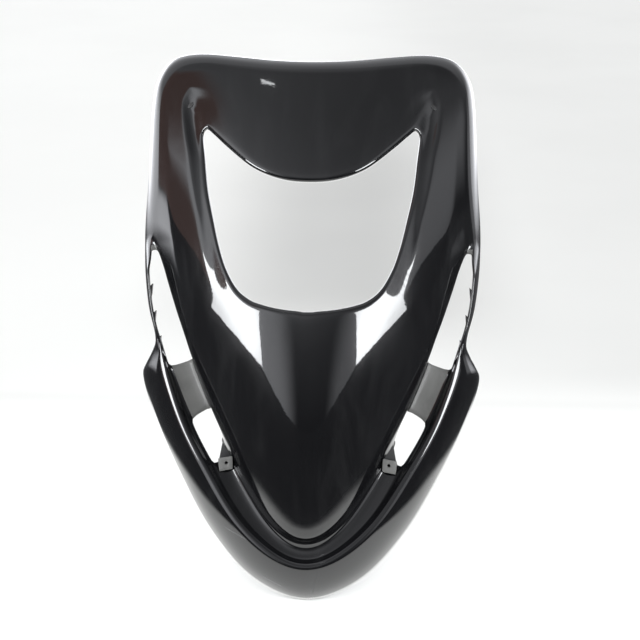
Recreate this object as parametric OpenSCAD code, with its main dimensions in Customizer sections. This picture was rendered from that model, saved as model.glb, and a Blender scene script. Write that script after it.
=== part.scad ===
// Front spoiler of a scooter: the gloss panel that carries the headlight between two horned pillars and
// the front indicators in the leaf-shaped side apertures. It is one thin moulded shell, open at the back.
// Millimetres. X to the right as seen from the front, Y to the rear, Z up. The front faces -Y.
// Inside the source the panel stands upright (x across, v up the panel, w back) and is leaned at the end.

/* [Overall size] */
// Width over the wings
body_w = 398; // [332:1:478]
// Height along the panel, before it leans, from the chin's rear edge to the top edge
body_h = 625.5; // [521:0.5:751]
// Depth from the nose to the rear edge of the side walls, before the panel leans
body_d = 115; // [96:1:138]
// Wall of the moulding
wall = 2.5; // [2:0.1:3]
// Backward lean of the panel when it is fitted, in degrees
lean = 20; // [10:1:30]

/* [Headlight aperture] */
// Reach of the lamp edge's lip behind the face
lip_d = 10; // [6:0.5:14]
// Radius of the lamp edge in the upper pillars, as a share of the drawn one
lamp_edge = 1; // [0.7:0.05:1.1]

/* [Side apertures] */
// Rounding of the shield's edge over the rim
rim_r = 3; // [2:0.25:4]
// Depth of the rim flange behind the rounding
rim_d = 12; // [8:0.5:15]
// Width of the flange that carries the indicator beside the lower aperture
ledge_w = 9; // [6:0.5:12]

/* [Headlight posts] */
// Radius of a post
post_r = 5.5; // [4:0.25:7]
// Radius of its screw hole
post_bore_r = 1.8; // [1.2:0.1:2.4]
// Depth of its screw hole
post_bore_d = 16; // [8:1:18]

/* [Screw ears] */
// Radius of an ear's round end
ear_r = 10; // [8:0.5:12]
// Thickness of an ear
ear_t = 4; // [2.5:0.25:6]
// Radius of an ear's screw hole
ear_bore_r = 3.2; // [2:0.1:4.5]

/* [Indicator bosses and hooks] */
// Radius of a boss
boss_r = 6.5; // [4.5:0.25:8]
// Length of a boss
boss_l = 20; // [16:0.5:26]
// Radius of its screw hole
boss_bore_r = 1.9; // [1.2:0.1:2.6]
// Depth of its screw hole
boss_bore_d = 14; // [8:1:15]
// Reach of a hook that catches the indicator's lens
hook_reach = 4.5; // [4:0.1:5]

/* [Hidden] */

// Width, height and depth of the outline that the stations draw
drawn_w = 398;
drawn_h = 625.5;
drawn_d = 115;
kx = body_w / drawn_w;
kv = body_h / drawn_h;
kw = body_d / drawn_d;

// Stations from the middle of the top edge round the right half to the tip, each as
// lamp edge [x, v], shield edge [x, v], crest or side front [x, v, w], rear edge [x, v, w].
stations = [
  [[0, 463], [0, 579], [0, 592, 44], [0, 599, 84]],
  [[30, 466], [46, 580], [46, 593, 45], [46, 601, 85]],
  [[60, 478], [87, 583], [90, 597, 47], [91, 606, 87]],
  [[90, 502], [122, 585], [130, 600, 51], [132, 609, 90]],
  [[104, 514.5], [146, 579], [156, 594, 57], [162, 603, 95]],
  [[116, 523], [161, 563], [171, 575, 62], [180, 582, 101]],
  [[125, 513], [166, 540], [177.5, 545, 65], [186.5, 550, 106]],
  [[123, 486], [168.5, 504], [180.5, 506, 67], [189.5, 508, 110]],
  [[119, 450], [171.5, 459], [184.5, 460, 69], [192.5, 460, 113]],
  [[112, 417], [174.5, 421], [187.5, 421, 71], [196, 420, 115]],
  [[105, 387], [175, 394], [189.5, 394, 73], [197, 392, 114]],
  [[96, 360], [167.5, 359.5], [189, 360, 75], [196, 357, 111]],
  [[83, 336], [153.5, 314], [185, 317, 78], [191, 316, 106]],
  [[67, 323], [144.5, 288], [176.5, 281, 79], [181.5, 273, 99]],
  [[52, 318], [134, 257], [166, 246, 76], [199, 241, 111]],
  [[37, 315], [112.5, 203], [144, 184, 66], [183.5, 187, 110]],
  [[23, 313], [85, 152], [115, 132.5, 53], [154, 125.5, 98]],
  [[12, 312], [50.5, 99.5], [77.5, 77, 38], [114, 59, 82]],
  [[5, 311], [23.5, 73], [36, 41, 29], [62.5, 6, 68]],
  [[0, 311], [0, 64.5], [0, 29.5, 26], [0, -16.5, 62]]
];
steps = [2, 2, 2, 4, 4, 3, 2, 2, 2, 2, 3, 2, 2, 3, 3, 3, 3, 3, 3];
// At each station: place of the inner crease, depth of the flute inside it, place of the outer crease,
// how far the face falls away beyond that, and the radius of the lamp edge.
relief = [
  [0.30, 0, 0.70, 0, 5], [0.30, 0, 0.70, 0, 5], [0.40, 0, 0.75, 0, 5], [0.70, 0, 0.85, 0, 5],
  [0.78, 2.4, 0.92, 0, 4.8], [0.62, 5.4, 0.90, 0, 4.8], [0.42, 6, 0.90, 0, 4.8], [0.30, 5.4, 0.88, 0.6, 4.6],
  [0.24, 4.4, 0.80, 2, 4.6], [0.21, 3.6, 0.74, 3.4, 4.6], [0.22, 3, 0.73, 4, 4.8], [0.26, 1.8, 0.81, 3, 5],
  [0.30, 0.5, 0.90, 0.6, 6], [0.32, 0, 0.85, 0, 6], [0.33, 0, 0.75, 0, 5.5], [0.33, 0, 0.70, 0, 5],
  [0.33, 0, 0.70, 0, 5], [0.33, 0, 0.70, 0, 5], [0.33, 0, 0.70, 0, 5], [0.33, 0, 0.70, 0, 5]
];
last = len(stations) - 1;

function lerp(a, b, t) = a + (b - a) * t;
function unit(a) = a / max(norm(a), 1e-9);
function flip(p) = [for (k = [0:len(p) - 1]) k == 0 ? -p[0] : p[k]];
function knot(P, i, odd) =
  i < 0 ? (odd ? flip(P[-i]) : P[-i]) : i > last ? (odd ? flip(P[2 * last - i]) : P[2 * last - i]) : P[i];
// Smooth curve through the knots at position s
function curve(P, s, odd = true) =
  let (i = min(floor(s), last - 1), t = s - i,
       a = knot(P, i - 1, odd), b = P[i], c = P[i + 1], d = knot(P, i + 2, odd))
  0.5 * (2 * b + (c - a) * t + (2 * a - 5 * b + 4 * c - d) * t * t
         + (3 * b - a - 3 * c + d) * t * t * t);
function along(P, s) = let (i = min(floor(s), last - 1)) lerp(P[i], P[i + 1], s - i);
function pick(k) = [for (s = stations) s[k]];
function ramp(s, a, b) = min(1, max(0, (s - a) / (b - a)));

lamp_pts = pick(0);
edge_pts = pick(1);
crest_pts = pick(2);
rear_pts = pick(3);

pos = concat([for (i = [0:len(steps) - 1]) for (j = [0:steps[i] - 1]) i + j / steps[i]], [last]);
n = len(pos) - 1;
cols = 2 * n;

keel_r = 1050;
apex = 305;
// Radius of the horizontal section of the shield at a height
function sect_r(v) = 50 * exp((v - 70) / 215);
function face_w(x, v) = pow(v - apex, 2) / (2 * keel_r) + x * x / (2 * sect_r(v));

zone_s = 10;
bridge = [14, 15];
bracket = 15.6;
gap_end = 16;

function face_p(s, t) =
  let (a = curve(lamp_pts, s), b = curve(edge_pts, s), q = lerp(a, b, t), r = along(relief, s),
       d = (r[0] - t) * norm(b - a) / 14,
       dip = d < 0 ? 0 : r[1] * (d < 1 ? 1 - pow(1 - d, 2) : exp(-pow(d - 1, 2))),
       fall = t > r[2] ? r[3] * (t - r[2]) / (1 - r[2]) : 0)
  [q[0], face_w(q[0], q[1]) + dip + fall, q[1]];
function turn(p) = [p[0], p[2], p[1]];
function flat(p) = unit([p[0], 0, p[2]]);
function bend(a, b, c, t) = lerp(lerp(a, b, t), lerp(b, c, t), t);

back = [0, 1, 0];
function section(s) =
  let (
    r = along(relief, s),
    ds = s < 0.01 ? [0, 0.02] : s > last - 0.01 ? [-0.02, 0] : [-0.02, 0.02],
    lr = r[4] * lamp_edge,
    f0 = face_p(s, 0), f1 = face_p(s, 1),
    du0 = unit(face_p(s + ds[1], 0) - face_p(s + ds[0], 0)),
    in0 = unit(f0 - face_p(s, 0.02)),
    e0 = unit(in0 - du0 * (in0 * du0)),
    du1 = unit(face_p(s + ds[1], 1) - face_p(s + ds[0], 1)),
    out1 = unit(f1 - face_p(s, 0.98)),
    e1 = unit(out1 - du1 * (out1 * du1)),
    b = turn(curve(crest_pts, s)),
    c = turn(s > 13 && s < 14 ? along(rear_pts, s) : curve(rear_pts, s)),
    low = ramp(s, zone_s, zone_s + 1),
    fold = ramp(s, 12.9, 14.2),
    wide = 2 + (ledge_w - 2) * ramp(s, 13.8, 15),
    groove = ramp(s, 15, 16.4),
    h = norm(b - f1),
    way = flat(b - f1),
    p1 = f1 + e1 * 14,
    p2 = c - back * (c[1] - f1[1]) * 0.7,
    up = [for (k = [1:12]) let (t = k < 9 ? 0.07 * k : 0.56 + 0.11 * (k - 8))
          lerp(bend(f1, p1, p2, t), bend(p1, p2, c, t), t)],
    m = [lerp(b, c, 0.72)[0], lerp(b, c, 0.35)[1], lerp(b, c, lerp(0.35, 0.72, ramp(s, 13.4, 14.4)))[2]],
    fore = unit(b - m),
    rim_way = unit(back + way * lerp(-0.05, 0.8, groove)),
    rim_end = f1 + e1 * rim_r + rim_way * rim_d,
    strip = [b + fore * 3, b + fore * 2, b + fore],
    ledge = [b - way * wide + back * 11.5, b - way * (wide * 0.7) + back * 10,
             b - way * (wide * 0.35) + back * 5],
    side = [for (k = [0:2]) bend(strip[k], b - way * (6 - 2 * k), ledge[k], fold)],
    floor_p = lerp(rim_end, side[0], s > 15.4 && s < 15.9 ? 0.1 : 0.5) + back * 2.5 * ramp(s, 13, 14),
    lo = [f1 + e1 * rim_r * 0.75 + rim_way * rim_r * 0.25,
          f1 + e1 * rim_r + rim_way * rim_r,
          rim_end, floor_p, side[0], side[1], side[2]]
  )
  concat(
    [f0 + e0 * lr + back * lip_d, f0 + e0 * lr + back * lr, f0 + e0 * lr * 0.75 + back * lr * 0.25],
    [for (k = [0:2]) face_p(s, r[0] * k / 3)],
    [for (k = [0:3]) face_p(s, lerp(r[0], r[2], k / 4))],
    [for (k = [0:3]) face_p(s, lerp(r[2], 1, k / 3))],
    [for (k = [0:6]) lerp(up[k], lo[k], low)],
    [for (k = [0:4]) lerp(up[7 + k], bend(b, m, c, k / 4), low)]
  );

half = [for (s = pos) section(s)];
rows = len(half[0]);
outer = [for (i = [0:cols - 1]) i <= n ? half[i] : [for (p = half[cols - i]) flip(p)]];

jg = 3 + 10 + 3;      // rear of the rim flange
function side(i) = i < n ? i : cols - 1 - i;
// Position along the outline of the start of a cell column
function at_s(i) = pos[side(i)];
function open_at(s, k) =
  s > zone_s + 0.3 && s < gap_end - 0.01 && (s < bridge[0] - 0.01 || s > bridge[1] - 0.01)
  && (k == 1 || s < bracket - 0.01);
function cell(i, j) = j >= 0 && j < rows - 1 && !((j == jg || j == jg + 1) && open_at(at_s((i + cols) % cols), j - jg));
function pt(i, j) = outer[(i + cols) % cols][j];
cell_n = [for (i = [0:cols - 1]) [for (j = [0:rows - 2])
  cell(i, j) ? unit(cross(pt(i + 1, j + 1) - pt(i, j), pt(i, j + 1) - pt(i + 1, j))) : [0, 0, 0]]];
function cn(i, j) = j < 0 || j > rows - 2 ? [0, 0, 0] : cell_n[(i + cols) % cols][j];
function inset(i, j) =
  let (a = [cn(i - 1, j - 1), cn(i - 1, j), cn(i, j - 1), cn(i, j)],
       m = unit(a[0] + a[1] + a[2] + a[3]),
       live = [for (q = a) if (norm(q) > 0.5) m * q],
       c = len(live) > 0 ? (live * [for (q = live) 1]) / len(live) : 1)
  pt(i, j) - m * wall * min(1.5, 1 / max(c, 0.3));
inner = [for (i = [0:cols - 1]) [for (j = [0:rows - 1]) inset(i, j)]];

function id(i, j) = ((i + cols) % cols) * rows + j;
sk = cols * rows;
function two(a, b, c, d, k) = k ? [[a, b, c], [a, c, d]] : [[b, c, d], [b, d, a]];
shell_faces = [for (i = [0:cols - 1]) for (j = [0:rows - 2]) if (cell(i, j)) for (f = concat(
  two(id(i, j), id(i, j + 1), id(i + 1, j + 1), id(i + 1, j), i < n),
  two(sk + id(i, j), sk + id(i + 1, j), sk + id(i + 1, j + 1), sk + id(i, j + 1), i < n),
  cell(i, j - 1) ? [] : two(id(i, j), id(i + 1, j), sk + id(i + 1, j), sk + id(i, j), i < n),
  cell(i, j + 1) ? [] : two(id(i + 1, j + 1), id(i, j + 1), sk + id(i, j + 1), sk + id(i + 1, j + 1), i < n),
  cell(i - 1, j) ? [] : two(id(i, j + 1), id(i, j), sk + id(i, j), sk + id(i, j + 1), i < n),
  cell(i + 1, j) ? [] : two(id(i + 1, j), id(i + 1, j + 1), sk + id(i + 1, j + 1), sk + id(i + 1, j), i < n)
)) f];
shell_pts = [for (c = concat(outer, inner)) for (p = c) [p[0] * kx, p[1] * kw, p[2] * kv]];
// Shift that puts the leaned panel on Z = 0 and its middle on Y = 0
z0 = -min([for (p = shell_pts) p[2] * cos(lean) - p[1] * sin(lean)]);
ys = [for (p = shell_pts) p[1] * cos(lean) + p[2] * sin(lean)];
y0 = -(min(ys) + max(ys)) / 2;

module shell() {
  polyhedron(shell_pts, shell_faces, convexity = 10);
}

// Posts for the headlight on the back of the face: [x, v, w of the free end, foot behind the face]
posts = [[139, 548, 74, 2.6], [74, 290, 60, 1.4]];
// Ears for the screws that hold the panel: [x, v, w of the rear face, x of the wall below and above]
ears = [[174, 470, 109, 191.1, 189.9], [162, 186, 106, 175.5, 182.8], [0, 7, 60]];
// Bosses for the indicator screws: [x, v, w of the front face]
bosses = [[93, 140, 62]];
// Hooks on the side fronts that catch the indicator lens: [x of the tip, v, w of the front]
hooks = [[182.5, 344, 77], [178.5, 313, 78], [172.5, 284, 79]];

module rod(p, r, l) {
  translate([p[0] * kx, p[2] * kw, p[1] * kv]) rotate([-90, 0, 0]) cylinder(r = r, h = l, $fn = 48);
}

module both() {
  children();
  mirror([1, 0, 0]) children();
}

// A post is cut off in the middle of the wall, along the slope of the face there
module post(p) {
  w = face_w(p[0], p[1]) + p[3];
  sx = (face_w(p[0] + 2, p[1]) - face_w(p[0] - 2, p[1])) / 4 * kw / kx;
  sv = (face_w(p[0], p[1] + 2) - face_w(p[0], p[1] - 2)) / 4 * kw / kv;
  difference() {
    rod([p[0], p[1], w - 8 / kw], post_r, (p[2] - w) * kw + 8);
    translate([p[0] * kx, w * kw, p[1] * kv]) rotate([0, 0, atan(sx)]) rotate([-asin(sv / norm([sx, 1, sv])), 0, 0])
      translate([-20, -40, -20]) cube([40, 40, 40]);
  }
}

module ear(p) {
  rod([p[0], p[1], p[2] - ear_t / kw], ear_r, ear_t);
  translate([0, p[2] * kw, p[1] * kv]) rotate([90, 0, 0]) linear_extrude(ear_t)
    polygon([[p[0] * kx, -ear_r], [p[3] * kx, -ear_r], [p[4] * kx, ear_r], [p[0] * kx, ear_r]]);
}

module chin_ear(p) {
  rod([p[0], p[1], p[2] - ear_t / kw], ear_r, ear_t);
  translate([-ear_r, p[2] * kw, p[1] * kv]) rotate([90, 0, 90]) linear_extrude(2 * ear_r)
    polygon([[0, 0], [-ear_t, 0], [-ear_t, -17.4 * kv], [0, -19.6 * kv]]);
}

module hook(p) {
  translate([p[0] * kx, p[2] * kw + 8, p[1] * kv])
    rotate([90, 0, 0]) linear_extrude(8) polygon([[0, 0], [hook_reach, -4.5], [hook_reach - 2.3, -17], [1, -12]]);
}

module body() {
  shell();
  both() {
    for (p = posts) post(p);
    ear(ears[0]);
    ear(ears[1]);
    for (p = bosses) rod(p, boss_r, boss_l);
    for (p = hooks) hook(p);
  }
  chin_ear(ears[2]);
}

module bores() {
  both() {
    for (p = posts) rod([p[0], p[1], p[2] - post_bore_d / kw], post_bore_r, post_bore_d + 5);
    for (k = [0, 1]) rod([ears[k][0], ears[k][1], ears[k][2] - 15], ear_bore_r, 30);
    for (p = bosses) rod([p[0], p[1], p[2] - 5], boss_bore_r, boss_bore_d + 5 * kw);
  }
  rod([ears[2][0], ears[2][1], ears[2][2] - 15], ear_bore_r, 30);
}

module front_spoiler() {
  color("#1b1c1f") translate([0, y0, z0]) rotate([-lean, 0, 0]) difference() {
    body();
    bores();
  }
}

front_spoiler();
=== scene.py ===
from math import cos, exp, pi, radians, sin

import bmesh
import bpy
from mathutils import Matrix, Vector


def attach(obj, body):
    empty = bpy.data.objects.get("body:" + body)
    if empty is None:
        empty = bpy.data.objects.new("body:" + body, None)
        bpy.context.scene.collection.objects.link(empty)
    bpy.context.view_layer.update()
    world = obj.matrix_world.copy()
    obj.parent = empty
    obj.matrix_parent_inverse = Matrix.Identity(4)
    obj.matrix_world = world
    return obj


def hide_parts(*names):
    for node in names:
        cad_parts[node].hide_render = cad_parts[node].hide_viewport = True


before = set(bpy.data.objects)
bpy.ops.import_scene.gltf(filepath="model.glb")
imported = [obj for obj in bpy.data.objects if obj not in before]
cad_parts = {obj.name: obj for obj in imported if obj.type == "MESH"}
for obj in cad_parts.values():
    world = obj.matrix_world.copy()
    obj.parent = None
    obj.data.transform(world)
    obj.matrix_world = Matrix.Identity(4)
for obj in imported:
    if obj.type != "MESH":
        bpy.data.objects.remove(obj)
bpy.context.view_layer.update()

# Camera: the photograph looks down by 22 degrees on the panel's front, from a little to its right.
# The panel is drawn upright in mm, measured across, up and back, and stands leaning back by 20 degrees.
LEAN = radians(20)
FOOT_BACK, FOOT_UP = -165.025, 36.7102


def leaned(across, up, back):
    """A point of the upright panel, in mm, in the leaned frame, in metres."""
    y = back * cos(LEAN) + up * sin(LEAN) + FOOT_BACK
    z = -back * sin(LEAN) + up * cos(LEAN) + FOOT_UP
    return Vector((across, y, z)) / 1000


def towards(turn, rise):
    """A direction in degrees: turned from straight ahead of the panel (-Y) to its right side, and raised."""
    turn, rise = radians(turn), radians(rise)
    return Vector((sin(turn) * cos(rise), -cos(turn) * cos(rise), sin(rise)))


CAMERA_WAY = towards(2.3, 22)
CAMERA_DISTANCE = 1.4
camera_data = bpy.data.cameras.new("camera")
camera_data.lens = 72.25
camera_data.sensor_width = 36
camera = bpy.data.objects.new("camera", camera_data)
camera.location = leaned(14.5, 307.4, 0) + CAMERA_WAY * CAMERA_DISTANCE
camera.rotation_euler = CAMERA_WAY.to_track_quat("Z", "Y").to_euler()
bpy.context.scene.collection.objects.link(camera)
bpy.context.scene.camera = camera
bpy.context.scene.view_settings.view_transform = "Standard"

# Shell: the panel itself, one injection moulding of black ABS 2.5 mm thick, screwed to the front frame.
# Its front is painted gloss black, with dust, wiped smears and two scratches in the lacquer. The back is
# bare, and so are the bridges behind the side apertures, whose paler grey is painted light.


def new_material(name):
    """A node material: itself, its node tree and its surface shader."""
    material = bpy.data.materials.new(name)
    material.use_nodes = True
    return material, material.node_tree, material.node_tree.nodes["Principled BSDF"]


def node(tree, kind, **sockets):
    """A node with values for its inputs, whose names have _ for a space."""
    new = tree.nodes.new(kind)
    for name, value in sockets.items():
        new.inputs[name.replace("_", " ")].default_value = value
    return new


def tone_ramp(tree, value, stops):
    """Greys or colours along a value: stops are (place, grey or colour)."""
    new = tree.nodes.new("ShaderNodeValToRGB")
    elements = new.color_ramp.elements
    while len(elements) < len(stops):
        elements.new(0.5)
    for element, (place, tone) in zip(elements, stops):
        element.position = place
        element.color = (tone, tone, tone, 1) if isinstance(tone, (int, float)) else (*tone, 1)
    tree.links.new(value, new.inputs["Fac"])
    return new.outputs["Color"]


def calc(tree, operation, *values):
    """One Math node, whose inputs are numbers or sockets."""
    new = tree.nodes.new("ShaderNodeMath")
    new.operation = operation
    for socket, value in zip(new.inputs, values):
        if isinstance(value, (int, float)):
            socket.default_value = value
        else:
            tree.links.new(value, socket)
    return new.outputs[0]


def fade(tree, value, start, end, first=0.0, last=1.0):
    """Goes softly from first to last as the value goes from start to end."""
    new = node(tree, "ShaderNodeMapRange", From_Min=start, From_Max=end, To_Min=first, To_Max=last)
    new.interpolation_type = "SMOOTHSTEP"
    tree.links.new(value, new.inputs["Value"])
    return new.outputs["Result"]


def product(tree, first, *others):
    for other in others:
        first = calc(tree, "MULTIPLY", first, other)
    return first


def colour_mix(tree, share, first, second):
    """Mixes two colours, each a value or a socket, by a share."""
    new = tree.nodes.new("ShaderNodeMix")
    new.data_type = "RGBA"
    tree.links.new(share, new.inputs["Factor"])
    for name, colour in (("A", first), ("B", second)):
        if isinstance(colour, tuple):
            new.inputs[name].default_value = (*colour, 1)
        else:
            tree.links.new(colour, new.inputs[name])
    return new.outputs["Result"]


def bump(tree, height, strength, distance, over=None):
    new = node(tree, "ShaderNodeBump", Strength=strength, Distance=distance)
    tree.links.new(height, new.inputs["Height"])
    if over:
        tree.links.new(over, new.inputs["Normal"])
    return new.outputs["Normal"]


def noise(tree, place, **sockets):
    new = node(tree, "ShaderNodeTexNoise", **sockets)
    tree.links.new(place, new.inputs["Vector"])
    return new.outputs["Fac"]


def stretched(tree, place, **sockets):
    """The coordinates that a Mapping node makes of others."""
    new = node(tree, "ShaderNodeMapping", **sockets)
    tree.links.new(place, new.inputs["Vector"])
    return new


def scratch(tree, place, across, up, fall, length):
    """1 on a thin line in the front view: its middle, in metres, and by how many degrees it falls."""
    local = stretched(tree, place, Location=(across, 0.0, up), Rotation=(0.0, radians(fall), 0.0))
    local.vector_type = "TEXTURE"
    parts = tree.nodes.new("ShaderNodeSeparateXYZ")
    tree.links.new(local.outputs[0], parts.inputs[0])
    off_middle = calc(tree, "ABSOLUTE", parts.outputs["X"])
    off_line = calc(tree, "ABSOLUTE", parts.outputs["Z"])
    ends = fade(tree, off_middle, length * 0.2, length * 0.5, 1.0, 0.0)
    return product(tree, ends, fade(tree, off_line, 0.0002, 0.0008, 1.0, 0.0))


BLACK_DEEP, BLACK_PALE, WORN_GREY = (0.0016, 0.0017, 0.0021), (0.0038, 0.0038, 0.0044), (0.05, 0.051, 0.053)
SMEAR_STRENGTH = 0.06
gloss_paint, tree, surface = new_material("gloss_black_paint")
place = tree.nodes.new("ShaderNodeTexCoord").outputs["Object"]
smear_place = stretched(tree, place, Scale=(30.0, 6.0, 7.0), Rotation=(0.0, 0.5, 0.0)).outputs[0]
smear = noise(tree, smear_place, Scale=1.0, Detail=5.0, Roughness=0.6, Distortion=0.8)
wiped = tone_ramp(tree, smear, [(0.0, 0.0), (0.50, 0.0), (0.72, 1.0)])
cloud = noise(tree, place, Scale=9.0, Detail=4.0, Roughness=0.55, Distortion=0.6)
marks = calc(tree, "MAXIMUM", scratch(tree, place, -0.080, 0.0805, 13.1, 0.034),
             scratch(tree, place, -0.037, 0.027, 21.3, 0.040))
worn = calc(tree, "MAXIMUM", calc(tree, "MULTIPLY", wiped, SMEAR_STRENGTH), marks)
black = colour_mix(tree, cloud, BLACK_DEEP, BLACK_PALE)
tree.links.new(colour_mix(tree, worn, black, WORN_GREY), surface.inputs["Base Color"])
haze = node(tree, "ShaderNodeMapRange", To_Min=0.19, To_Max=0.34)
tree.links.new(wiped, haze.inputs["Value"])
tree.links.new(haze.outputs["Result"], surface.inputs["Roughness"])
surface.inputs["IOR"].default_value = 1.5
surface.inputs["Specular IOR Level"].default_value = 0.07
surface.inputs["Coat Weight"].default_value = 1.0
surface.inputs["Coat Roughness"].default_value = 0.03
ripple = bump(tree, noise(tree, place, Scale=26.0, Detail=2.0, Roughness=0.5), 0.05, 0.002)
orange_peel = bump(tree, noise(tree, place, Scale=420.0, Detail=1.0), 0.04, 0.0002, ripple)
speckle = noise(tree, place, Scale=900.0, Detail=3.0, Roughness=0.6)
dust = tone_ramp(tree, speckle, [(0.0, 0.0), (0.70, 0.0), (0.78, 1.0)])
lacquer = bump(tree, dust, 0.25, 0.0001, orange_peel)
tree.links.new(lacquer, surface.inputs["Normal"])
tree.links.new(lacquer, surface.inputs["Coat Normal"])

bare_finish = bpy.data.node_groups.new("bare_moulding_finish", "ShaderNodeTree")
for name, kind in (("Flow Place", "Vector"), ("Grain Place", "Vector"), ("Flow Scale", "Float"),
                   ("Flow Detail", "Float"), ("Flow Swirl", "Float"), ("Dark", "Color"), ("Pale", "Color"),
                   ("Shiny", "Float"), ("Dull", "Float")):
    bare_finish.interface.new_socket(name=name, in_out="INPUT", socket_type="NodeSocket" + kind)
for name, kind in (("Color", "Color"), ("Roughness", "Float"), ("Grain Height", "Float")):
    bare_finish.interface.new_socket(name=name, in_out="OUTPUT", socket_type="NodeSocket" + kind)
given = bare_finish.nodes.new("NodeGroupInput").outputs
result = bare_finish.nodes.new("NodeGroupOutput").inputs
flow = bare_finish.nodes.new("ShaderNodeTexNoise")
flow.inputs["Roughness"].default_value = 0.6
for socket, source in (("Vector", "Flow Place"), ("Scale", "Flow Scale"), ("Detail", "Flow Detail"),
                       ("Distortion", "Flow Swirl")):
    bare_finish.links.new(given[source], flow.inputs[socket])
pale_share = node(bare_finish, "ShaderNodeMapRange", From_Min=0.25, From_Max=0.75)
bare_finish.links.new(flow.outputs["Fac"], pale_share.inputs["Value"])
flow_colour = colour_mix(bare_finish, pale_share.outputs["Result"], given["Dark"], given["Pale"])
dullness = node(bare_finish, "ShaderNodeMapRange", From_Min=0.2, From_Max=0.8)
for socket, source in (("Value", flow.outputs["Fac"]), ("To Min", given["Shiny"]),
                       ("To Max", given["Dull"])):
    bare_finish.links.new(source, dullness.inputs[socket])
bare_finish.links.new(flow_colour, result["Color"])
bare_finish.links.new(dullness.outputs["Result"], result["Roughness"])
grain = noise(bare_finish, given["Grain Place"], Scale=1500.0, Detail=2.0)
bare_finish.links.new(grain, result["Grain Height"])


def bare_material(name, dark, pale, shiny, dull, flow_scale, detail, swirl, stretch=None):
    """Unpainted moulding: colour and gloss vary along the flow of the melt, over a fine grain."""
    material, tree, surface = new_material(name)
    finish = tree.nodes.new("ShaderNodeGroup")
    finish.node_tree = bare_finish
    for socket, value in (("Dark", (*dark, 1)), ("Pale", (*pale, 1)), ("Shiny", shiny), ("Dull", dull),
                          ("Flow Scale", flow_scale), ("Flow Detail", detail), ("Flow Swirl", swirl)):
        finish.inputs[socket].default_value = value
    place = tree.nodes.new("ShaderNodeTexCoord").outputs["Object"]
    flow_place = stretched(tree, place, Scale=stretch).outputs[0] if stretch else place
    tree.links.new(flow_place, finish.inputs["Flow Place"])
    tree.links.new(place, finish.inputs["Grain Place"])
    tree.links.new(finish.outputs["Color"], surface.inputs["Base Color"])
    tree.links.new(finish.outputs["Roughness"], surface.inputs["Roughness"])
    tree.links.new(bump(tree, finish.outputs["Grain Height"], 0.2, 0.0002), surface.inputs["Normal"])
    return material


bare_black = bare_material("bare_black_plastic", (0.012, 0.012, 0.0125), (0.024, 0.024, 0.0245), 0.36, 0.52,
                           1.0, 6.0, 1.2, stretch=(10.0, 10.0, 3.0))
# Painted light: the black plastic made a paler grey where light falls, on the bridges and the tabs
painted_light_grey = bare_material("painted_light_grey_plastic", (0.075, 0.075, 0.072), (0.12, 0.12, 0.116), 0.40, 0.55,
                          22.0, 5.0, 1.0)

# Stations run from the middle of the top edge round one half to the tip, in mm. Each gives the lamp edge and
# the shield edge (across, up), and the crest of the side and the rear edge (across, up, back).
STATIONS = [
    ((0, 463), (0, 579), (0, 592, 44), (0, 599, 84)),
    ((30, 466), (46, 580), (46, 593, 45), (46, 601, 85)),
    ((60, 478), (87, 583), (90, 597, 47), (91, 606, 87)),
    ((90, 502), (122, 585), (130, 600, 51), (132, 609, 90)),
    ((104, 514.5), (146, 579), (156, 594, 57), (162, 603, 95)),
    ((116, 523), (161, 563), (171, 575, 62), (180, 582, 101)),
    ((125, 513), (166, 540), (177.5, 545, 65), (186.5, 550, 106)),
    ((123, 486), (168.5, 504), (180.5, 506, 67), (189.5, 508, 110)),
    ((119, 450), (171.5, 459), (184.5, 460, 69), (192.5, 460, 113)),
    ((112, 417), (174.5, 421), (187.5, 421, 71), (196, 420, 115)),
    ((105, 387), (175, 394), (189.5, 394, 73), (197, 392, 114)),
    ((96, 360), (167.5, 359.5), (189, 360, 75), (196, 357, 111)),
    ((83, 336), (153.5, 314), (185, 317, 78), (191, 316, 106)),
    ((67, 323), (144.5, 288), (176.5, 281, 79), (181.5, 273, 99)),
    ((52, 318), (134, 257), (166, 246, 76), (199, 241, 111)),
    ((37, 315), (112.5, 203), (144, 184, 66), (183.5, 187, 110)),
    ((23, 313), (85, 152), (115, 132.5, 53), (154, 125.5, 98)),
    ((12, 312), (50.5, 99.5), (77.5, 77, 38), (114, 59, 82)),
    ((5, 311), (23.5, 73), (36, 41, 29), (62.5, 6, 68)),
    ((0, 311), (0, 64.5), (0, 29.5, 26), (0, -16.5, 62)),
]
CUTS = [4, 4, 4, 8, 8, 6, 4, 4, 4, 4, 6, 4, 4, 6, 6, 6, 6, 6, 6]
# For each station: where the flute beside the lamp ends and its depth, where the outer slope starts and its
# depth, and the lamp lip's radius. Places are shares of the way from the lamp edge to the shield edge.
RELIEF = [
    (0.30, 0, 0.70, 0, 5), (0.30, 0, 0.70, 0, 5), (0.40, 0, 0.75, 0, 5),
    (0.70, 0, 0.85, 0, 5), (0.78, 2.4, 0.92, 0, 4.8), (0.62, 5.4, 0.90, 0, 4.8),
    (0.42, 6, 0.90, 0, 4.8), (0.30, 5.4, 0.88, 0.6, 4.6), (0.24, 4.4, 0.80, 2, 4.6),
    (0.21, 3.6, 0.74, 3.4, 4.6), (0.22, 3, 0.73, 4, 4.8), (0.26, 1.8, 0.81, 3, 5),
    (0.30, 0.5, 0.90, 0.6, 6), (0.32, 0, 0.85, 0, 6), (0.33, 0, 0.75, 0, 5.5),
    (0.33, 0, 0.70, 0, 5), (0.33, 0, 0.70, 0, 5), (0.33, 0, 0.70, 0, 5),
    (0.33, 0, 0.70, 0, 5), (0.33, 0, 0.70, 0, 5),
]
LAST = len(STATIONS) - 1
WALL = 2.5
LIP_DEPTH = 10
RIM_RADIUS, RIM_DEPTH = 3, 12
LEDGE_WIDTH = 9
FLUTE_SPAN = 14
APEX_UP, KEEL_RADIUS, SIDE_RADIUS = 305, 1050, 50
MOST_STRETCH = 1.3
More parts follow.
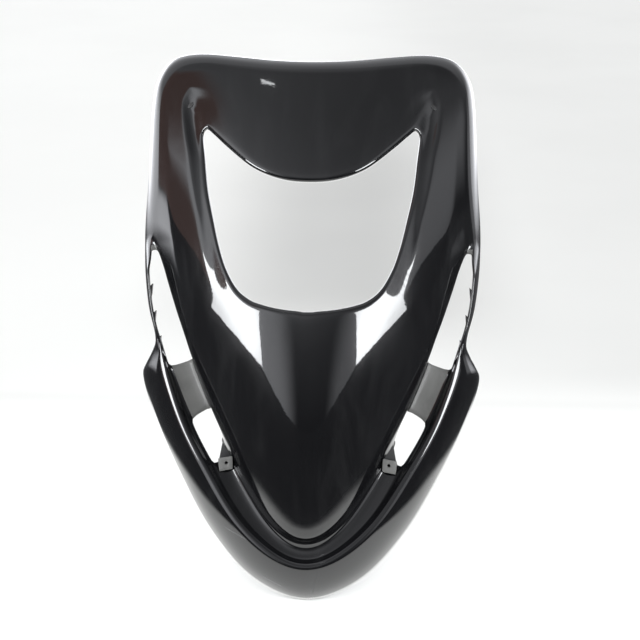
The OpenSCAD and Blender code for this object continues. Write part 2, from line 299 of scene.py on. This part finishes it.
# Smoothing swells the skin's edges, which this brings back to the moulding's own size
TRIM = Vector((1, 0.9998, 0.9996))
BACK = Vector((0, 1, 0))


def between(first, second, share):
    return first + (second - first) * share


def bend(first, middle, last, share):
    return between(between(first, middle, share), between(middle, last, share), share)


def part_way(value, start, end):
    return min(1.0, max(0.0, (value - start) / (end - start)))


def unit(way):
    return way / max(way.length, 1e-9)


def mirrored(point):
    other = point.copy()
    other[0] = -other[0]
    return other


def station_point(line, i):
    """A line's point at a station, mirrored beyond the middle plane."""
    if i < 0:
        return mirrored(line[-i])
    return mirrored(line[2 * LAST - i]) if i > LAST else line[i]


def smooth_at(line, s):
    """The smooth curve through a line's stations, at s."""
    i = min(int(s // 1), LAST - 1)
    t = s - i
    a, b, c, d = (station_point(line, i + k) for k in (-1, 0, 1, 2))
    return 0.5 * (2 * b + (c - a) * t + (2 * a - 5 * b + 4 * c - d) * t * t
                  + (3 * b - a - 3 * c + d) * t ** 3)


def straight_at(line, s):
    i = min(int(s // 1), LAST - 1)
    return between(line[i], line[i + 1], s - i)


LAMP, SHIELD, CREST, REAR = ([Vector(station[k]) for station in STATIONS] for k in range(4))


def relief_at(s):
    i = min(int(s // 1), LAST - 1)
    return [between(a, b, s - i) for a, b in zip(RELIEF[i], RELIEF[i + 1])]


def face_depth(across, up):
    """How far back the plain convex face lies."""
    keel = (up - APEX_UP) ** 2 / (2 * KEEL_RADIUS)
    return keel + across * across / (2 * SIDE_RADIUS * exp((up - 70) / 215))


def face_point(s, share):
    """A point of the face between the lamp edge and the shield edge, as (across, back, up)."""
    lamp, shield = smooth_at(LAMP, s), smooth_at(SHIELD, s)
    flute_end, flute_depth, slope_start, slope_depth, _ = relief_at(s)
    across, up = between(lamp, shield, share)
    inside = (flute_end - share) * (shield - lamp).length / FLUTE_SPAN
    flute = 0
    if inside >= 0:
        flute = flute_depth * (1 - (1 - inside) ** 2 if inside < 1 else exp(-(inside - 1) ** 2))
    slope = slope_depth * (share - slope_start) / (1 - slope_start) if share > slope_start else 0
    return Vector((across, face_depth(across, up) + flute + slope, up))


def edge_way(s, share, inner):
    """The way in which the face runs out over its edge, square to the edge."""
    before = 0 if s < 0.01 else -0.02
    after = 0 if s > LAST - 0.01 else 0.02
    run = unit(face_point(s + after, share) - face_point(s + before, share))
    way = unit(face_point(s, share) - face_point(s, inner))
    return unit(way - run * way.dot(run))


def section(s):
    """The outer skin's points at s, from the back of the lamp lip over the face to the rear edge."""
    flute_end, _, slope_start, _, lip = relief_at(s)
    lamp, brim = face_point(s, 0), face_point(s, 1)
    inward, outward = edge_way(s, 0, 0.02), edge_way(s, 1, 0.98)
    crest, rear = (Vector((p[0], p[2], p[1])) for p in (
        smooth_at(CREST, s), straight_at(REAR, s) if 13 < s < 14 else smooth_at(REAR, s)))
    # Above the side apertures one bent wall runs from the face to the rear edge
    pull_1, pull_2 = brim + outward * 14, rear - BACK * (rear[1] - brim[1]) * 0.7
    places = [0.07 * k if k < 9 else 0.56 + 0.11 * (k - 8) for k in range(1, 13)]
    wall = [between(bend(brim, pull_1, pull_2, t), bend(pull_1, pull_2, rear, t), t) for t in places]
    # Beside and below them come the rim, the bridge or the groove's floor, the ledge, the crest and the side
    over = crest - brim
    over = unit(Vector((over[0], 0, over[2])))
    rim_way = unit(BACK + over * between(-0.05, 0.8, part_way(s, 15, 16.4)))
    rim_end = brim + outward * RIM_RADIUS + rim_way * RIM_DEPTH
    wide = 2 + (LEDGE_WIDTH - 2) * part_way(s, 13.8, 15)
    ledge = [crest - over * (wide * share) + BACK * depth
             for share, depth in ((1, 11.5), (0.7, 10), (0.35, 5))]
    bulge = Vector((between(crest, rear, 0.72)[0], between(crest, rear, 0.35)[1],
                    between(crest, rear, between(0.35, 0.72, part_way(s, 13.4, 14.4)))[2]))
    fore = unit(crest - bulge)
    fold = part_way(s, 12.9, 14.2)
    side = [bend(crest + fore * (3 - k), crest - over * (6 - 2 * k), ledge[k], fold) for k in range(3)]
    floor = between(rim_end, side[0], 0.1 if 15.4 < s < 15.9 else 0.5) + BACK * 2.5 * part_way(s, 13, 14)
    rim = [brim + outward * RIM_RADIUS * 0.71 + rim_way * RIM_RADIUS * 0.29,
           brim + outward * RIM_RADIUS + rim_way * RIM_RADIUS, rim_end, floor]
    inner, low = rim + side, part_way(s, 10, 11)
    rows = [lamp + inward * lip + BACK * LIP_DEPTH, lamp + inward * lip + BACK * lip]
    rows += [lamp + inward * lip * cos(radians(a)) + BACK * lip * (1 - sin(radians(a))) for a in (30, 62)]
    rows += [face_point(s, flute_end * k / 4) for k in range(4)]
    rows += [face_point(s, between(flute_end, slope_start, k / 5)) for k in range(5)]
    rows += [face_point(s, between(slope_start, 1, k / 4)) for k in range(5)]
    rows += [between(wall[k], inner[k], low) for k in range(7)]
    rows += [between(wall[7 + k], bend(crest, bulge, rear, k / 4), low) for k in range(5)]
    return rows


PLACES = [i + j / n for i, n in enumerate(CUTS) for j in range(n)] + [LAST]
HALF = len(PLACES) - 1
ROUND = 2 * HALF
sections = [section(s) for s in PLACES]
outer = sections + [[mirrored(p) for p in sections[ROUND - i]] for i in range(HALF + 1, ROUND)]
ROWS = len(sections[0])
RIM_ROW = ROWS - 10


def solid_cell(i, j):
    """Whether the skin has a cell at columns i, i + 1 and rows j, j + 1, where no aperture is."""
    if j < 0 or j > ROWS - 2:
        return False
    i %= ROUND
    s = PLACES[i if i < HALF else ROUND - 1 - i]
    if j not in (RIM_ROW, RIM_ROW + 1) or s < 10.3 or s > 15.99 or 13.99 < s < 14.99:
        return True
    return j == RIM_ROW and s >= 15.59


def outer_point(i, j):
    return outer[i % ROUND][j]


def cell_normal(i, j):
    if not solid_cell(i, j):
        return None
    rising = outer_point(i + 1, j + 1) - outer_point(i, j)
    return unit(rising.cross(outer_point(i, j + 1) - outer_point(i + 1, j)))


normals = [[cell_normal(i, j) for j in range(ROWS - 1)] for i in range(ROUND)]


def inner_point(i, j):
    """The inner skin's point behind a point of the outer skin, one wall away."""
    near = [normals[(i + a) % ROUND][j + b] for a in (-1, 0) for b in (-1, 0) if 0 <= j + b < ROWS - 1]
    near = [normal for normal in near if normal]
    if not near:
        return outer_point(i, j)
    mean = unit(sum(near, Vector((0, 0, 0))))
    spread = sum(mean.dot(normal) for normal in near) / len(near)
    return outer_point(i, j) - mean * WALL * min(MOST_STRETCH, 1 / max(spread, 0.3))


PAINTED, BARE, LIT_GREY = 0, 1, 2
bm = bmesh.new()
crease = bm.edges.layers.float.new("crease_edge")
made = {}


def skin_vert(inner, i, j):
    key = (inner, i % ROUND, j)
    if key not in made:
        across, back, up = inner_point(i, j) if inner else outer_point(i, j)
        made[key] = bm.verts.new(leaned(across, up, back) * TRIM)
    return made[key]


for i in range(ROUND):
    s = PLACES[i if i < HALF else ROUND - 1 - i]
    for j in range(ROWS - 1):
        if not solid_cell(i, j):
            continue
        # Behind the side apertures the rim rows, the bridges among them, take a paler grey: painted light
        front = LIT_GREY if 10 < s < 16 and RIM_ROW <= j <= RIM_ROW + 1 else PAINTED
        corners = [(i, j), (i + 1, j), (i + 1, j + 1), (i, j + 1)]
        bm.faces.new([skin_vert(False, *c) for c in corners]).material_index = front
        bm.faces.new([skin_vert(True, *corners[k]) for k in (0, 3, 2, 1)]).material_index = BARE
        beyond = [(i, j - 1), (i + 1, j), (i, j + 1), (i - 1, j)]
        for k, other in enumerate(beyond):
            if solid_cell(*other):
                continue
            a, b = corners[k], corners[(k + 1) % 4]
            rim_corners = ((False, b), (False, a), (True, a), (True, b))
            bm.faces.new([skin_vert(inner, *c) for inner, c in rim_corners]).material_index = front
            for inner in (False, True):
                bm.edges.get((skin_vert(inner, *a), skin_vert(inner, *b)))[crease] = 0.45
bmesh.ops.recalc_face_normals(bm, faces=bm.faces)


def new_object(name, bm, materials):
    """An object at the origin, with smooth faces, from a bmesh."""
    mesh = bpy.data.meshes.new(name)
    for face in bm.faces:
        face.smooth = True
    bm.to_mesh(mesh)
    bm.free()
    for material in materials:
        mesh.materials.append(material)
    new = bpy.data.objects.new(name, mesh)
    bpy.context.scene.collection.objects.link(new)
    return new


shell = new_object("front_spoiler_shell", bm, [gloss_paint, bare_black, painted_light_grey])
smooth = shell.modifiers.new("smooth", "SUBSURF")
smooth.levels = smooth.render_levels = 1
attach(shell, "root")
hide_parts("front_spoiler")

# Fixings: four headlight posts, five screw ears, two indicator bosses with a pale tab and a web, and six
# lens hooks. They are moulded on the back in the same ABS and left bare, with edges rounded over by 0.4 mm.
EDGE_ROUND = 0.0004
POST_RADIUS, POST_BORE, POST_BORE_DEPTH = 5.5, 1.8, 16
POSTS = [(139, 548, 74, 2.6), (74, 290, 60, 1.4)]
EAR_RADIUS, EAR_BORE, EAR_THICK = 10, 3.2, 4
EARS = [(174, 470, 109, 191.1, 189.9), (162, 186, 106, 175.5, 182.8)]
CHIN_EAR_UP, CHIN_EAR_REAR, CHIN_WALL_UP = 7, 60, -11
BOSS_ACROSS, BOSS_UP, BOSS_FRONT, BOSS_REAR = 93, 140, 62, 82
BOSS_RADIUS, BOSS_BORE, BOSS_BORE_DEPTH = 6.5, 1.9, 14
TAB = [(101, 130), (102.5, 145), (86, 148), (85.5, 133)]
WEB = [(98, 163), (101.5, 144), (87, 147)]
HOOKS = [(182.5, 344, 77), (178.5, 313, 78), (172.5, 284, 79)]
HOOK = [(0, 0), (4.5, -4.5), (2.2, -17), (1, -12)]
HOOK_WIDTH = 8
bm = bmesh.new()


def turned(across, up, outline, foot=0, sides=40):
    """A round part: rings of (radius, back) about the depth axis. A ring without a depth follows the face,
    as far behind it as the foot says."""
    rings = []
    for radius, back in outline:
        ring = []
        for k in range(sides if radius else 1):
            a, b = across + radius * cos(2 * pi * k / sides), up + radius * sin(2 * pi * k / sides)
            ring.append(bm.verts.new(leaned(a, b, face_depth(a, b) + foot if back is None else back)))
        rings.append(ring)
    for ring, after in zip(rings, rings[1:]):
        for k in range(sides):
            n = (k + 1) % sides
            corners = [ring[k % len(ring)], ring[n % len(ring)]]
            corners += [after[n % len(after)], after[k % len(after)]]
            bm.faces.new(list(dict.fromkeys(corners)))


def ray_length(outline, middle, way):
    """How far an outline lies from a point inside it, in one direction."""
    nearest = 1e9
    for start, end in zip(outline, outline[1:] + outline[:1]):
        start, end = Vector(start) - middle, Vector(end) - middle
        run = end - start
        turn = run[0] * way[1] - way[0] * run[1]
        if abs(turn) < 1e-9:
            continue
        length = (run[0] * start[1] - start[0] * run[1]) / turn
        share = (way[0] * start[1] - way[1] * start[0]) / turn
        if length > 0 and -1e-6 <= share <= 1 + 1e-6:
            nearest = min(nearest, length)
    return nearest


def holed_plate(outline, hole, front, rear, sides=48):
    """A plate between two depths, with an outline of (across, up) and a round hole (across, up, radius)."""
    middle, radius = Vector(hole[:2]), hole[2]
    ways = [Vector((cos(2 * pi * k / sides), sin(2 * pi * k / sides))) for k in range(sides)]
    rim = [middle + way * ray_length(outline, middle, way) for way in ways]
    bore = [middle + way * radius for way in ways]
    rings = [[bm.verts.new(leaned(*point, back)) for point in line]
             for line, back in ((rim, front), (bore, front), (bore, rear), (rim, rear))]
    faces = []
    for ring, after in zip(rings, rings[1:] + rings[:1]):
        for k in range(sides):
            n = (k + 1) % sides
            faces.append(bm.faces.new((ring[k], ring[n], after[n], after[k])))
    return faces


def prism(outline, front, rear):
    """A flat part between two depths, with an outline of (across, up)."""
    face = bm.faces.new([bm.verts.new(leaned(across, up, front)) for across, up in outline])
    new = bmesh.ops.extrude_face_region(bm, geom=[face])["geom"]
    bmesh.ops.translate(bm, verts=[part for part in new if isinstance(part, bmesh.types.BMVert)],
                        vec=leaned(0, 0, rear) - leaned(0, 0, front))


def arc(across, up, radius, start, end, steps=16):
    angles = [radians(start + (end - start) * k / steps) for k in range(steps + 1)]
    return [(across + radius * cos(a), up + radius * sin(a)) for a in angles]


tabs = []
for side in (1, -1):
    for across, up, rear, foot in POSTS:
        # A post starts inside the wall and ends in a screw hole with a broken edge
        turned(side * across, up, [
            (0, None), (POST_RADIUS, None), (POST_RADIUS, rear - 0.5), (POST_RADIUS - 0.5, rear),
            (POST_BORE + 0.4, rear), (POST_BORE, rear - 0.4), (POST_BORE, rear - POST_BORE_DEPTH),
            (0, rear - POST_BORE_DEPTH)], foot)
    for across, up, rear, wall_low, wall_high in EARS:
        outline = arc(across, up, EAR_RADIUS, 90, 270)
        outline += [(wall_low - 0.6, up - EAR_RADIUS), (wall_high - 0.6, up + EAR_RADIUS)]
        outline = [(side * a, b) for a, b in outline]
        holed_plate(outline, (side * across, up, EAR_BORE), rear - EAR_THICK, rear)
    turned(side * BOSS_ACROSS, BOSS_UP, [
        (0, BOSS_REAR), (BOSS_RADIUS - 0.5, BOSS_REAR), (BOSS_RADIUS, BOSS_REAR - 0.5),
        (BOSS_RADIUS, BOSS_FRONT + 0.5), (BOSS_RADIUS - 0.5, BOSS_FRONT), (BOSS_BORE + 0.4, BOSS_FRONT),
        (BOSS_BORE, BOSS_FRONT + 0.4), (BOSS_BORE, BOSS_FRONT + BOSS_BORE_DEPTH),
        (0, BOSS_FRONT + BOSS_BORE_DEPTH)])
    tabs += holed_plate([(side * a, b) for a, b in TAB], (side * BOSS_ACROSS, BOSS_UP, BOSS_BORE),
                        BOSS_FRONT - 0.6, BOSS_FRONT + 1)
    prism([(side * a, b) for a, b in WEB], BOSS_FRONT + 2, BOSS_FRONT + 4)
    for across, up, back in HOOKS:
        prism([(side * (across + a), up + b) for a, b in HOOK], back, back + HOOK_WIDTH)
chin_ear = arc(0, CHIN_EAR_UP, EAR_RADIUS, 0, 180)
chin_ear += [(-EAR_RADIUS, CHIN_WALL_UP), (EAR_RADIUS, CHIN_WALL_UP)]
holed_plate(chin_ear, (0, CHIN_EAR_UP, EAR_BORE), CHIN_EAR_REAR - EAR_THICK, CHIN_EAR_REAR)
# Painted light: the tabs take the paler grey, for the light that falls on them
for face in tabs:
    face.material_index = 1
bmesh.ops.remove_doubles(bm, verts=bm.verts, dist=1e-6)
bmesh.ops.recalc_face_normals(bm, faces=bm.faces)
fixings = new_object("front_spoiler_fixings", bm, [bare_black, painted_light_grey])
edges = fixings.modifiers.new("edges", "BEVEL")
edges.width = EDGE_ROUND
edges.segments = 2
edges.angle_limit = radians(40)
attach(fixings, "root")
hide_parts("front_spoiler")

# Table: a white studio table with a seam in it behind the panel, and painted shade along and beyond the
# seam.
# In the lacquer it shows as painted reflection: white near the panel, dark farther off, pale backdrop
# beyond.
SEAM_BACK, SEAM_HALF_WIDTH, SEAM_SHADE = 0.416, 0.03, 0.035
TABLE_WHITE = 0.97
MIRRORED_WIDE, MIRRORED_DEEP, MIRRORED_GLOW = 0.37, 0.46, 0.8
TABLE_DARK = 0.11
ROOM_GREY = (0.97, 0.985, 1.03, 1)
table_white, tree, surface = new_material("table")
position = tree.nodes.new("ShaderNodeNewGeometry").outputs["Position"]
parts = tree.nodes.new("ShaderNodeSeparateXYZ")
tree.links.new(position, parts.inputs[0])
across, back, _ = parts.outputs
aside = calc(tree, "ABSOLUTE", across)
off_seam = calc(tree, "ABSOLUTE", calc(tree, "SUBTRACT", back, SEAM_BACK))
seam = fade(tree, off_seam, 0.0, SEAM_HALF_WIDTH, SEAM_SHADE, 0.0)
right_shade = product(tree, fade(tree, across, -0.25, 0.55, 0.0, 0.12), fade(tree, back, 0.38, 0.55))
lamp_shade = product(tree, fade(tree, aside, 0.05, 0.42, 0.33, 0.0), fade(tree, back, 0.5, 0.9),
                     fade(tree, back, 1.5, 3.2, 1.0, 0.0))
patches = fade(tree, noise(tree, position, Scale=1.6, Detail=3.0), 0.35, 0.65, 0.0, 0.02)
tone = TABLE_WHITE
for shade in (seam, right_shade, lamp_shade, patches):
    tone = calc(tree, "SUBTRACT", tone, shade)
white = tree.nodes.new("ShaderNodeCombineColor")
tree.links.new(tone, white.inputs[0])
tree.links.new(calc(tree, "MULTIPLY", tone, 1.004), white.inputs[1])
tree.links.new(calc(tree, "MULTIPLY", tone, 0.988), white.inputs[2])
tree.links.new(white.outputs[0], surface.inputs["Base Color"])
surface.inputs["Roughness"].default_value = 0.7
# Painted reflection: glossy rays see the table glow white near the panel, dark farther off and pale beyond
in_front = calc(tree, "MINIMUM", back, 0.0)
wide_part = calc(tree, "POWER", calc(tree, "MULTIPLY", aside, 1 / MIRRORED_WIDE), 2.0)
deep_part = calc(tree, "POWER", calc(tree, "MULTIPLY", in_front, -1 / MIRRORED_DEEP), 2.0)
reach = calc(tree, "SQRT", calc(tree, "ADD", wide_part, deep_part))
near = fade(tree, reach, 0.84, 1.06, 1.0, 0.0)
distance = tree.nodes.new("ShaderNodeVectorMath")
distance.operation = "LENGTH"
tree.links.new(position, distance.inputs[0])
slant = calc(tree, "DIVIDE", back, calc(tree, "ADD", aside, 0.01))
on_left = fade(tree, across, -0.05, 0.05, 1.0, 0.0)
left_far = product(tree, on_left, fade(tree, slant, -0.12, -0.05, 0.0, 4.6))
right_far = calc(tree, "ADD", fade(tree, slant, -0.06, 0.0, 0.0, 1.1), fade(tree, slant, 0.2, 0.3, 0.0, 2.2))
right_far = product(tree, calc(tree, "SUBTRACT", 1.0, on_left), right_far)
backdrop = product(tree, calc(tree, "ADD", left_far, right_far),
                   fade(tree, distance.outputs["Value"], 1.4, 3.0))
glossy = tree.nodes.new("ShaderNodeLightPath").outputs["Is Glossy Ray"]
far_light = node(tree, "ShaderNodeEmission", Color=ROOM_GREY)
tree.links.new(calc(tree, "MAXIMUM", backdrop, TABLE_DARK), far_light.inputs["Strength"])
near_light = node(tree, "ShaderNodeEmission", Color=(1, 1, 0.98, 1))
tree.links.new(product(tree, near, glossy, MIRRORED_GLOW), near_light.inputs["Strength"])
lit = tree.nodes.new("ShaderNodeAddShader")
tree.links.new(surface.outputs[0], lit.inputs[0])
tree.links.new(near_light.outputs[0], lit.inputs[1])
table_mix = tree.nodes.new("ShaderNodeMixShader")
tree.links.new(product(tree, calc(tree, "SUBTRACT", 1.0, near), glossy), table_mix.inputs["Fac"])
tree.links.new(lit.outputs[0], table_mix.inputs[1])
tree.links.new(far_light.outputs[0], table_mix.inputs[2])
tree.links.new(table_mix.outputs[0], tree.nodes["Material Output"].inputs["Surface"])
bm = bmesh.new()
just_below = Matrix.Translation((0, 0, -0.0005))
bmesh.ops.create_grid(bm, x_segments=8, y_segments=8, size=30.0, matrix=just_below)
floor = new_object("floor", bm, [table_white])

# Room: what lights the panel is a plain white surrounding. What the lacquer mirrors is a dim room in front,
# pale surroundings at the sides and behind, a reddish wall on the left, and haze round the light panels.
studio = bpy.data.worlds.new("studio")
studio.use_nodes = True
bpy.context.scene.world = studio
tree = studio.node_tree
tree.nodes.clear()
parts = tree.nodes.new("ShaderNodeSeparateXYZ")
tree.links.new(tree.nodes.new("ShaderNodeTexCoord").outputs["Generated"], parts.inputs[0])
across, back, up = parts.outputs
# Dark at eye level, a pale band above it, then the ceiling
height = node(tree, "ShaderNodeMapRange", From_Min=-1.0)
tree.links.new(up, height.inputs["Value"])
band = tone_ramp(tree, height.outputs["Result"], [
    (0.33, 0.12), (0.50, 0.08), (0.57, 0.20), (0.61, 0.33), (0.655, 0.62), (0.71, 0.95), (0.79, 0.95),
    (0.84, 0.72), (0.885, 0.60), (0.95, 0.60), (0.995, 1.0)])
left_brighter = calc(tree, "ADD", 1.0, product(tree, fade(tree, across, -0.6, 0.6, 0.2, -0.45),
                                               fade(tree, up, 0.1, 0.4)))
front_room = product(tree, band, left_brighter)
# The surroundings at eye level, at each side and behind, and the upper part of the backdrop
eye_level = product(tree, fade(tree, up, -0.22, -0.10), fade(tree, up, 0.08, 0.45, 1.0, 0.25))
left = product(tree, fade(tree, across, 0.0, -0.1), fade(tree, back, -0.12, -0.05, 0.0, 4.8))
right_steps = calc(tree, "ADD", fade(tree, back, -0.06, 0.0, 0.0, 1.2), fade(tree, back, 0.2, 0.3, 0.0, 2.4))
right = product(tree, fade(tree, across, 0.0, 0.1), right_steps)
pale = product(tree, calc(tree, "MAXIMUM", left, right), eye_level, fade(tree, back, 0.80, 0.97, 1.0, 0.2))
upper = product(tree, fade(tree, back, -0.2, 0.1), fade(tree, up, 0.3, 0.9, 0.5, 1.2))
brightness = calc(tree, "MAXIMUM", calc(tree, "MAXIMUM", front_room, pale), upper)
HAZES = [((-0.78, -0.62, 0.07), 0.78, 0.99, 2.4), ((0.78, -0.62, 0.07), 0.86, 0.99, 1.2)]
ray = tree.nodes.new("ShaderNodeCombineXYZ")
for socket, part in zip(ray.inputs, (across, back, up)):
    tree.links.new(part, socket)
for way, outer_end, inner_end, strength in HAZES:
    nearness = tree.nodes.new("ShaderNodeVectorMath")
    nearness.operation = "DOT_PRODUCT"
    nearness.inputs[1].default_value = way
    tree.links.new(ray.outputs[0], nearness.inputs[0])
    haze_light = fade(tree, nearness.outputs["Value"], outer_end, inner_end, 0.0, strength)
    brightness = calc(tree, "ADD", brightness, haze_light)
# The reddish wall's near edge slants with height
wall_edge = calc(tree, "SUBTRACT", across, product(tree, calc(tree, "MAXIMUM", up, 0.3), 0.89))
red_wall = product(tree, fade(tree, wall_edge, -1.05, -1.15), fade(tree, up, -0.16, -0.04),
                   fade(tree, up, 0.66, 0.74, 1.0, 0.0), fade(tree, back, -0.07, -0.13))
grey_light = node(tree, "ShaderNodeBackground", Color=ROOM_GREY)
tree.links.new(brightness, grey_light.inputs["Strength"])
red_light = node(tree, "ShaderNodeBackground", Color=(0.80, 0.52, 0.46, 1), Strength=0.85)
mirrored_room = tree.nodes.new("ShaderNodeMixShader")
tree.links.new(red_wall, mirrored_room.inputs["Fac"])
tree.links.new(grey_light.outputs[0], mirrored_room.inputs[1])
tree.links.new(red_light.outputs[0], mirrored_room.inputs[2])
plain_light = node(tree, "ShaderNodeBackground", Color=(0.99, 0.995, 1, 1), Strength=1.0)
room_mix = tree.nodes.new("ShaderNodeMixShader")
tree.links.new(tree.nodes.new("ShaderNodeLightPath").outputs["Is Glossy Ray"], room_mix.inputs["Fac"])
tree.links.new(plain_light.outputs[0], room_mix.inputs[1])
tree.links.new(mirrored_room.outputs[0], room_mix.inputs[2])
tree.links.new(room_mix.outputs[0], tree.nodes.new("ShaderNodeOutputWorld").inputs["Surface"])

# Light panels: two soft panels left and right of the nose and a strip lamp at the ceiling, which the lacquer
# mirrors. Each is placed by its corners' directions, in degrees, from a point, and fades towards its edges.
PANEL_COLOUR = (0.96, 0.98, 1, 1)
PANELS = [
    ("softbox_left", (-0.08, -0.04, 0.32), 0.5, 25,
     [(-76.6, -7.1), (-43.9, -5.6), (-39.2, 15.7), (-53.3, 16.7), (-60.7, 14.8)]),
    ("ceiling_lamp", (-0.047, 0.063, 0.56), 1.4, 14, [(-28, 52.9), (-21, 54.0), (-21, 54.6), (-28, 53.6)]),
    ("softbox_right", (0.08, -0.04, 0.32), 0.5, 25,
     [(71.8, -6.2), (43.4, -5.6), (32.8, 16.5), (51.9, 17.7)]),
]
for name, seen_from, away, strength, corners in PANELS:
    material, tree, _ = new_material(name)
    tree.nodes.clear()
    ways = [towards(*corner) for corner in corners]
    middle = Vector(seen_from) + away * sum(ways, Vector()) / len(ways)
    off_middle = tree.nodes.new("ShaderNodeVectorMath")
    off_middle.operation = "DISTANCE"
    off_middle.inputs[1].default_value = middle
    tree.links.new(tree.nodes.new("ShaderNodeNewGeometry").outputs["Position"], off_middle.inputs[0])
    glow = node(tree, "ShaderNodeEmission", Color=PANEL_COLOUR)
    faded = fade(tree, off_middle.outputs["Value"], 0.1 * away, 0.4 * away, strength, 0.6 * strength)
    tree.links.new(faded, glow.inputs["Strength"])
    tree.links.new(glow.outputs[0], tree.nodes.new("ShaderNodeOutputMaterial").inputs["Surface"])
    bm = bmesh.new()
    bm.faces.new([bm.verts.new(Vector(seen_from) + away * way) for way in ways])
    panel = new_object(name, bm, [material])
    panel.visible_camera = False
    panel.visible_shadow = False
